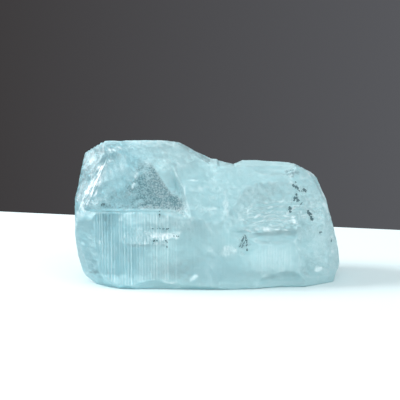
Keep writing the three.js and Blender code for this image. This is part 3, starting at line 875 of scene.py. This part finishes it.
@dataclass(frozen=True)
class FrostedTopaz:
    """Natural blue topaz, clear inside, its skin partly glassy and partly frosted by etching.

    Refraction 1.62 as topaz has, a pale blue body colour that deepens with thickness, and a
    roughness that runs from the gloss of fresh cleavage to the matt of etched faces. Where the
    skin is full of tiny cracks it is milky or white, and where they hold mineral dust it is grey.
    The white also carries painted highlights, glints and rims, and the grey also paints the shade
    of the dark wall seen through the clear window.
    """

    skin: str = "E0F4F5"
    milk: str = "B6DEE2"
    deep: str = "C5F0F7"
    # Grey of mineral dust, and also the painted shade of the dark wall seen through the window.
    dust: str = "557E86"
    # White of cracks and flecks, and also of the painted highlights, glints and rims.
    white: str = "F8FDFF"
    body: str = "74D6DF"
    depth_of_colour: float = 32.0
    refraction: float = 1.62
    glossy: float = 0.3
    matt: float = 0.5
    relief: float = 0.07

    # How much each layer adds to its colour, and how cloudy each colour makes the skin.
    plain_white_and_highlight: float = 0.3
    plain_dust_and_shade: float = 0.68
    grainy_dust_and_shade: float = 0.5
    milkiest: float = 0.6
    cloudiest_white_and_highlight: float = 0.85
    cloudiest_dust_and_shade: float = 0.8

    def material(self) -> bpy.types.Material:
        """Make the material, which reads the skin's layers from the piece's attributes.

        Milk, blue, dust and white are laid over the clear skin's colour one after the other, each
        by its own sum of layers and patterns, and their weighted sum takes the clearness away. The
        dust colour also paints the shade of the dark wall seen through the window, and the white also
        paints highlights, glints and rims.

        Returns:
            The material.
        """
        material, tree = new_material("frosted_topaz")
        place = add_node(tree, "TexCoord").outputs["Object"]
        layer = {
            kind: add_node(tree, "Attribute", attribute_name=kind.value).outputs["Fac"]
            for kind in Layer
            if kind is not Layer.RAISED
        }
        drawn = {name: pattern.socket(tree, place) for name, pattern in PATTERNS.items()}
        shown = [(kind, drawn[name], layer.get(kind.layer, 1.0)) for name, kind in PATTERNS.items()]
        relief = sum_of(tree, [(kind.relief, marks, where) for kind, marks, where in shown if kind.relief])
        # The white share: partly white marks, partly painted highlights, glints and rims.
        white = sum_of(tree, [
            (self.plain_white_and_highlight, layer[Layer.WHITE], 1.0),
            *((kind.white, marks, where) for kind, marks, where in shown if kind.white),
        ])
        # The dust share, which is also the painted shade of the window.
        dusty = sum_of(tree, (
            (self.grainy_dust_and_shade, drawn["grains"], layer[Layer.DUST_AND_SHADE]),
            (self.plain_dust_and_shade, layer[Layer.DUST_AND_SHADE], 1.0),
        ))
        colour: Socket | Sequence[float] = linear(self.skin)
        for share, tone in (
            (layer[Layer.MILK], self.milk),
            (layer[Layer.BLUE], self.deep),
            (dusty, self.dust),
            (white, self.white),
        ):
            inputs = {0: share, 6: colour, 7: linear(tone)}
            colour = add_node(tree, "Mix", inputs, data_type="RGBA").outputs[2]
        cloudy = sum_of(tree, (
            (self.milkiest, layer[Layer.MILK], 1.0),
            (self.cloudiest_white_and_highlight, white, 1.0),
            (self.cloudiest_dust_and_shade, dusty, 1.0),
        ))
        clear = add_node(tree, "MapRange", {"Value": cloudy, "To Min": 1.0, "To Max": 0.0})
        roughness = add_node(tree, "MapRange", {
            "Value": layer[Layer.FROST], "To Min": self.glossy, "To Max": self.matt,
        })
        bump = add_node(tree, "Bump", {"Height": relief, "Distance": self.relief * MM})
        shader = add_node(tree, "BsdfPrincipled", {
            "Base Color": colour,
            "Roughness": roughness.outputs["Result"],
            "IOR": self.refraction,
            "Transmission Weight": clear.outputs["Result"],
            "Normal": bump.outputs["Normal"],
        })
        inside = add_node(tree, "VolumeAbsorption", {
            "Color": linear(self.body), "Density": self.depth_of_colour,
        })
        add_node(tree, "OutputMaterial", {"Surface": shader.outputs[0], "Volume": inside.outputs[0]})
        return material


@dataclass(frozen=True)
class PaintedBoard:
    """White painted board under the crystal, matt."""

    tone: str = "EAF6F7"
    roughness: float = 0.6

    def material(self) -> bpy.types.Material:
        """Make the material.

        Returns:
            The material, in one plain tone.
        """
        material, tree = new_material("painted_board")
        paint = {"Base Color": linear(self.tone), "Roughness": self.roughness}
        shader = add_node(tree, "BsdfPrincipled", paint)
        add_node(tree, "OutputMaterial", {"Surface": shader.outputs[0]})
        return material


# ---- The crystal ---------------------------------------------------------------------------


@dataclass
class TopazCrystal:
    """The crystal as one closed piece, in place of the plain solid."""

    low: Array
    high: Array
    prism_spare: Point = (1.00355, 1.00476, 1.0)
    # Each set of grooves: its spacing, its shift in shares of that, and its depth.
    grooves: tuple[Point, ...] = ((3.7, 0.1, 0.03), (1.63, 0.45, 0.06), (0.91, 0.8, 0.05))
    # Each size of unevenness on the broken faces: its height and its field.
    hackle: tuple[tuple[float, WaveField], ...] = ((0.03, WaveField(3.1, 11)), (0.02, WaveField(1.3, 12)))
    waviness: float = 0.012
    block_height: float = 0.14
    grid: BoxGrid = field(default_factory=BoxGrid)
    finish: FrostedTopaz = field(default_factory=FrostedTopaz)

    def form(self) -> CrystalForm:
        """Give the form its size from the frame's box, with the waste that its faces trim."""
        size = (self.high - self.low) / MM * self.prism_spare
        return CrystalForm(*size)

    def build(self) -> bpy.types.Object:
        """Build and dress the crystal.

        Returns:
            The finished piece, declared to the frame.
        """
        form = self.form()
        shell, cells = self.grid.shell()
        box = np.array([form.length / 2, form.depth / 2, form.height / 2])
        ways = shell * box + (0, 0, form.height / 2) - form.inner
        ways /= np.linalg.norm(ways, axis=1, keepdims=True)
        points, kinds, margins = form.surface(ways)
        normals = vertex_normals(points, cells)
        relief, layers = self.skin(form, points, normals, kinds, margins)
        points = self.settle(points + relief[:, None] * normals)
        piece = mesh_object("topaz_body", points * MM, cells, smooth=True)
        for layer, values in layers.items():
            set_attribute(piece, layer.value, values)
        piece.data.materials.append(self.finish.material())
        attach(piece, "root")
        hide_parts(NODE)
        return piece

    def settle(self, points: Array) -> Array:
        """Move the points so that their box is centred on the frame's and stands on its base.

        The move is the frame's middle less the points' middle, and upwards the frame's low end
        less the points' low end.

        Args:
            points: one row of x, y, z in millimetres per vertex.

        Returns:
            The moved points.
        """
        low, high = points.min(0), points.max(0)
        middle = (self.low + self.high) / 2 / MM
        move = middle - (low + high) / 2
        move[2] = self.low[2] / MM - low[2]
        return points + move

    def skin(
        self,
        form: CrystalForm,
        points: Array,
        normals: Array,
        kinds: Array,
        margins: Array,
    ) -> tuple[Array, dict[Layer, Array]]:
        """Work out the fine relief and the layers of the skin.

        Prism faces get three sets of upright grooves, broken faces a hackly unevenness of two
        sizes, and cleavage stays almost flat. The layers start from wave fields, the kind of
        surface and the place in millimetres, with a painted highlight in the white along broken
        edges, and the top painted milkier and whiter as a painted reflection of the bright room
        overhead. Each area of the front then sets its layers to its own amounts, as far as its mask
        says.

        Args:
            form: the crystal's form.
            points: one row of x, y, z in millimetres per vertex.
            normals: the unit normal at each vertex.
            kinds: the kind of surface at each vertex.
            margins: how much farther out the next cut lies at each vertex.

        Returns:
            Per vertex, how far it moves out, and each layer.
        """
        x, z = points[:, 0], points[:, 2]
        prism, level, chipped = (
            (kinds == kind.value).astype(float) for kind in (Surface.PRISM, Surface.CLEAVAGE, Surface.CHIP)
        )
        broken = 1 - prism - level
        clouds = 0.5 + 0.5 * WaveField(7.0, 21).at(points)
        spots = 0.5 + 0.5 * WaveField(2.2, 22).at(points)
        specks = WaveField(1.0, 23).at(points)
        lines = WaveField(1.5, 24, stretch=(1, 1, 8)).at(points)
        # How far each place is on the top, and how far along a broken edge. The top is made milkier
        # and whiter as a painted reflection of the bright room overhead, and the edges get a painted
        # highlight in the white.
        top = smoothstep(0.3, 0.7, np.maximum(normals[:, 0], normals[:, 2])) * smoothstep(14, 17, z)
        edge = (1 - smoothstep(0.0, 0.35, margins)) * smoothstep(-0.5, 0.8, specks)
        milk = 0.35 + 0.3 * clouds + 0.1 * spots + 0.1 * level + (0.2 + 0.2 * level) * top
        white = 0.18 * edge + (0.04 + 0.1 * level) * top + 0.15 * smoothstep(1.0, 1.9, specks) * broken
        layers = {layer: np.zeros(len(points)) for layer in Layer} | {
            Layer.FROST: np.clip(0.3 + 0.5 * clouds + 0.5 * level, 0, 1),
            Layer.MILK: np.clip(milk - 0.3 * smoothstep(-8, -20, x), 0, 1),
            Layer.BLUE: smoothstep(-7, -15, x),
            Layer.WHITE: white,
            Layer.STRIATED: prism * (0.12 + 0.68 * smoothstep(-3, -9, x)) * (0.75 + 0.35 * lines),
            Layer.FEATHERY: 0.2 * broken * spots,
            Layer.GRAINY: np.clip(broken * (0.3 + 0.7 * spots) - 0.5 * chipped, 0, 1),
        }
        front = smoothstep(0.0, 0.25, -normals[:, 1])
        halos = [group.dust() for group in GRAINS.values() if group.halo]
        for area in [*AREAS.values(), *halos]:
            mask = area.mask(form, points) * front
            for layer, amount in area.layers.items():
                layers[layer] = layers[layer] * (1 - mask) + amount * mask
        layers[Layer.STRIATED] *= prism
        grooves = sum(depth * triangle_wave(x / spacing + shift) for spacing, shift, depth in self.grooves)
        hackle = sum(height * unevenness.at(points) for height, unevenness in self.hackle)
        relief = hackle * broken * (1 - 0.6 * chipped) + self.waviness * WaveField(1.6, 13).at(points) * level
        relief -= grooves * prism * layers[Layer.STRIATED]
        relief += self.block_height * layers.pop(Layer.RAISED)
        return relief, layers


@dataclass(frozen=True)
class GrainGroup:
    """Dark grains that sit in the front: where, how far they spread, how many and how big.

    Their halo is how dusty the skin is round them.
    """

    at: Pair
    spread: Pair
    count: int
    size: float
    turn: float = 0.0
    halo: float = 0.0

    def dust(self) -> Patch:
        """Give the dusty area round the grains."""
        reach = (self.spread[0] + self.size, self.spread[1] + self.size)
        return Patch(self.at, reach, {Layer.DUST_AND_SHADE: self.halo}, turn=self.turn, ragged=0.4)


# Places are in shares of the crystal's half length and height, spreads and sizes in millimetres.
GRAINS: Mapping[str, GrainGroup] = {
    "upper speck": GrainGroup((0.626, 0.692), (0.65, 0.15), 15, 0.38, turn=-39, halo=0.4),
    "upper dot": GrainGroup((0.628, 0.724), (0.08, 0.08), 2, 0.26),
    "upper right speck": GrainGroup((0.691, 0.667), (0.16, 0.3), 8, 0.38, halo=0.4),
    "upper right tail": GrainGroup((0.665, 0.667), (0.45, 0.14), 7, 0.24, halo=0.3),
    "middle speck": GrainGroup((0.626, 0.612), (0.34, 0.26), 11, 0.4, halo=0.4),
    "middle speck tail": GrainGroup((0.632, 0.637), (0.12, 0.35), 5, 0.28, halo=0.3),
    "middle speck foot": GrainGroup((0.642, 0.599), (0.2, 0.12), 4, 0.32),
    "faint dot": GrainGroup((0.665, 0.577), (0.15, 0.1), 2, 0.26),
    "lone speck": GrainGroup((0.586, 0.539), (0.18, 0.38), 9, 0.36, halo=0.4),
    "long speck": GrainGroup((0.723, 0.51), (0.52, 0.18), 13, 0.44, turn=-45, halo=0.4),
    "long speck foot": GrainGroup((0.745, 0.473), (0.45, 0.16), 11, 0.42, turn=-66, halo=0.4),
    "right edge speck": GrainGroup((0.817, 0.361), (0.14, 0.18), 3, 0.3, halo=0.3),
    "right end speck": GrainGroup((0.91, 0.286), (0.12, 0.25), 3, 0.28, halo=0.3),
    "cluster left arm": GrainGroup((0.23, 0.332), (0.97, 0.1), 17, 0.26, turn=67, halo=0.4),
    "cluster middle arm": GrainGroup((0.243, 0.32), (0.76, 0.1), 11, 0.24, turn=63, halo=0.4),
    "cluster right arm": GrainGroup((0.267, 0.318), (1.15, 0.1), 18, 0.26, turn=-85, halo=0.4),
    "cluster top": GrainGroup((0.25, 0.375), (0.2, 0.15), 3, 0.22),
    "upper row": GrainGroup((-0.352, 0.426), (1.4, 0.03), 10, 0.24),
    "lower row": GrainGroup((-0.356, 0.343), (1.3, 0.05), 9, 0.26),
    "column": GrainGroup((-0.307, 0.316), (0.05, 0.75), 5, 0.22),
    "second column": GrainGroup((-0.404, 0.321), (0.05, 0.4), 3, 0.2),
    "tick": GrainGroup((-0.359, 0.522), (0.03, 0.45), 7, 0.26),
    "faint row": GrainGroup((-0.239, 0.374), (0.5, 0.08), 5, 0.22, halo=0.25),
    "dusty corner grain": GrainGroup((-0.774, 0.569), (0.25, 0.3), 7, 0.32, halo=0.5),
}


@dataclass(frozen=True)
class DarkMica:
    """Dark mica, split in tiny flakes: blackish green with a slight pearly gloss."""

    dark: str = "37545A"
    pale: str = "64868C"
    mottle: float = 0.3
    relief: float = 0.05
    roughness: float = 0.45
    refraction: float = 1.58

    def material(self) -> bpy.types.Material:
        """Make the material.

        Returns:
            The material, mottled from dark to pale by noise.
        """
        material, tree = new_material("dark_mica")
        place = add_node(tree, "TexCoord").outputs["Object"]
        spots = {"Vector": place, "Scale": 1 / (self.mottle * MM), "Detail": 2.0}
        mottle = add_node(tree, "TexNoise", spots).outputs["Fac"]
        ramp = add_node(tree, "ValToRGB", {"Fac": mottle})
        for element, tone in zip(ramp.color_ramp.elements, (self.dark, self.pale)):
            element.color = linear(tone)
        bump = add_node(tree, "Bump", {"Height": mottle, "Distance": self.relief * MM})
        shader = add_node(tree, "BsdfPrincipled", {
            "Base Color": ramp.outputs["Color"],
            "Normal": bump.outputs["Normal"],
            "Roughness": self.roughness,
            "IOR": self.refraction,
        })
        add_node(tree, "OutputMaterial", {"Surface": shader.outputs[0]})
        return material


@dataclass
class MicaGrains:
    """Small dark grains half sunk in the crystal's front, joined as one piece."""

    crystal: bpy.types.Object
    form: CrystalForm
    seed: int = 7
    narrowest: Point = (0.6, 0.35, 0.4)
    widest: Point = (1.3, 0.6, 1.0)
    dents: float = 0.3
    lump: BoxGrid = field(default_factory=lambda: BoxGrid(4, 4, 4))
    finish: DarkMica = field(default_factory=DarkMica)

    def build(self) -> bpy.types.Object:
        """Build and dress the grains.

        Returns:
            The finished piece, declared to the frame.
        """
        rng = np.random.default_rng(self.seed)
        skin = np.empty(len(self.crystal.data.vertices) * 3, np.float32)
        self.crystal.data.vertices.foreach_get("co", skin)
        skin = skin.reshape(-1, 3) / MM
        front = skin[skin[:, 1] < 0]
        ball, cells = self.lump.shell()
        ball /= np.linalg.norm(ball, axis=1, keepdims=True)
        points, faces = [], []
        for group in GRAINS.values():
            for _ in range(group.count):
                middle = self.seat(front, group, rng)
                faces.append(cells + len(ball) * len(points))
                points.append(middle + self.grain(ball, group.size, rng))
        piece = mesh_object("mica_grains", np.concatenate(points) * MM, np.concatenate(faces), smooth=False)
        piece.data.materials.append(self.finish.material())
        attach(piece, "root")
        return piece

    def seat(self, front: Array, group: GrainGroup, rng: np.random.Generator) -> Array:
        """Pick a place for one grain near its group's middle, on the nearest point of the front.

        Args:
            front: the points of the crystal's front, in millimetres.
            group: the grain's group.
            rng: the source of chance.

        Returns:
            The grain's middle.
        """
        middle_x, middle_z = self.form.on_front(group.at)
        u, v = turned(*(rng.uniform(-1, 1, 2) * group.spread), math.radians(group.turn))
        x, z = middle_x + u, middle_z + v
        nearest = ((front[:, 0] - x) ** 2 + (front[:, 2] - z) ** 2).argmin()
        return np.array([x, front[nearest, 1], z])

    def grain(self, ball: Array, size: float, rng: np.random.Generator) -> Array:
        """Shape one grain: a ball stretched at random, turned in the front's plane and dented.

        Args:
            ball: the points of a unit ball.
            size: the grain's width in millimetres.
            rng: the source of chance.

        Returns:
            The grain's points about its middle, in millimetres.
        """
        half = size / 2 * rng.uniform(self.narrowest, self.widest)
        dents = 1 + self.dents * WaveField(1.2, int(rng.integers(1 << 30)), 5).at(ball)
        lump = ball * dents[:, None] * half
        x, z = turned(lump[:, 0], lump[:, 2], rng.uniform(0, np.pi))
        return np.stack([x, lump[:, 1], z], 1)


# ---- The studio ----------------------------------------------------------------------------


@dataclass(frozen=True)
class SoftLight:
    """A square soft light: which way and how far off it hangs, its side and its power in watts."""

    azimuth: float
    elevation: float
    distance: float
    size: float
    power: float

    def hang(self, name: str) -> None:
        """Hang the light so that it faces the crystal.

        Args:
            name: the light's name.
        """
        lamp = bpy.data.lights.new(name, "AREA")
        lamp.size = self.size
        lamp.energy = self.power
        hung = bpy.data.objects.new(name, lamp)
        bpy.context.scene.collection.objects.link(hung)
        way = Vector(direction(self.azimuth, self.elevation))
        hung.location = way * self.distance
        hung.rotation_euler = way.to_track_quat("Z", "Y").to_euler()


@dataclass
class Studio:
    """A pale board, a soft room with a dark wall behind, two soft lights and the camera."""

    board_size: float = 0.6
    board_back: float = 0.0636
    board_turn: float = -17.3
    board: PaintedBoard = field(default_factory=PaintedBoard)
    # The room's tones by how far up a direction points, from -1 to 1, and the wall's ends.
    tones: tuple[tuple[float, str], ...] = (
        (-0.2, "F4F7F7"), (-0.18, "B4BCC0"), (0.13, "B4BCC0"), (0.3, "C4CCD0"), (1.0, "DCE4E8"))
    wall: tuple[str, str] = ("3F3D3E", "58595D")
    window_light: SoftLight = SoftLight(azimuth=178, elevation=36, distance=0.6, size=0.28, power=3.7)
    room_light: SoftLight = SoftLight(azimuth=-55, elevation=22, distance=0.8, size=0.8, power=3.1)
    distance: float = 0.2
    elevation: float = 7.5
    view_width: float = 0.072
    film_width: float = 36.0
    aim: Point = (-0.00165, 0.0, 0.0139)

    def build(self) -> None:
        """Build the floor, the room, the lights and the camera."""
        self.floor()
        self.room()
        self.window_light.hang("window")
        self.room_light.hang("room")
        self.camera()

    def floor(self) -> None:
        """Make the floor, a flat square whose back edge runs a little slanted behind the crystal."""
        turn = math.radians(self.board_turn)
        along = np.array([math.cos(turn), math.sin(turn), 0.0]) * self.board_size
        back = np.array([-math.sin(turn), math.cos(turn), 0.0])
        corners = [
            side * along + (self.board_back - depth * self.board_size) * back
            for side, depth in ((-0.5, 1), (0.5, 1), (0.5, 0), (-0.5, 0))
        ]
        board = mesh_object("floor", np.array(corners), np.arange(4)[None, :], smooth=False)
        board.data.materials.append(self.board.material())

    def room(self) -> None:
        """Make the room: pale all round and brighter overhead, with a dark wall behind.

        A ramp over how far up a direction points gives the room's tone. The wall takes over where
        the direction points backwards and close to level, and gets paler from left to right.
        """
        world = bpy.data.worlds.new("studio")
        bpy.context.scene.world = world
        world.use_nodes = True
        tree = world.node_tree
        tree.nodes.clear()
        way = add_node(tree, "TexCoord").outputs["Generated"]
        parts = add_node(tree, "SeparateXYZ", {0: way}).outputs
        steep = add_node(tree, "Math", {0: parts["Z"]}, operation="ABSOLUTE").outputs[0]
        height, sweep, behind, level = (
            add_node(tree, "MapRange", limits, interpolation_type=rise).outputs["Result"]
            for rise, limits in (
                ("LINEAR", {"Value": parts["Z"], "From Min": -1.0}),
                ("LINEAR", {"Value": parts["X"], "From Min": -0.18, "From Max": 0.18}),
                ("SMOOTHSTEP", {"Value": parts["Y"], "From Min": 0.3, "From Max": 0.7}),
                ("SMOOTHSTEP", {"Value": steep, "From Min": 0.4, "From Max": 0.15}),
            )
        )
        ramp = add_node(tree, "ValToRGB", {"Fac": height})
        elements = ramp.color_ramp.elements
        while len(elements) < len(self.tones):
            elements.new(0.5)
        for element, (up, tone) in zip(elements, self.tones):
            element.position = (up + 1) / 2
            element.color = linear(tone)
        wall = add_node(tree, "Math", {0: behind, 1: level}, operation="MULTIPLY").outputs[0]
        left, right = (linear(tone) for tone in self.wall)
        dark = add_node(tree, "Mix", {0: sweep, 6: left, 7: right}, data_type="RGBA").outputs[2]
        inputs = {0: wall, 6: ramp.outputs["Color"], 7: dark}
        colour = add_node(tree, "Mix", inputs, data_type="RGBA").outputs[2]
        shine = add_node(tree, "Background", {"Color": colour})
        add_node(tree, "OutputWorld", {"Surface": shine.outputs[0]})

    def camera(self) -> None:
        """Make the camera, in front of the crystal and a little above it.

        Its focal length is the film's width times the distance over the width in view.
        """
        lens = bpy.data.cameras.new("camera")
        lens.sensor_width = self.film_width
        lens.lens = self.film_width * self.distance / self.view_width
        lens.clip_start = 0.01
        eye = bpy.data.objects.new("camera", lens)
        bpy.context.scene.collection.objects.link(eye)
        away = Vector(direction(-90, self.elevation))
        eye.location = Vector(self.aim) + away * self.distance
        eye.rotation_euler = away.to_track_quat("Z", "Y").to_euler()
        bpy.context.scene.camera = eye


def set_tone() -> None:
    """Show light as it is, without a film curve, and keep fine marks when noise is taken out."""
    bpy.context.scene.view_settings.view_transform = "Standard"
    bpy.context.scene.cycles.denoising_prefilter = "NONE"


def main() -> None:
    """Build the crystal and its studio."""
    logging.basicConfig(level=logging.INFO, format="%(message)s")
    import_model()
    low, high = (np.array(corner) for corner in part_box(NODE))
    crystal = TopazCrystal(low, high)
    body = crystal.build()
    LOG.info("crystal: %d cells", len(body.data.polygons))
    grains = MicaGrains(body, crystal.form()).build()
    LOG.info("mica grains: %d cells", len(grains.data.polygons))
    Studio().build()
    LOG.info("studio: floor, room, lights and camera")
    set_tone()


if __name__ == "__main__":
    main()
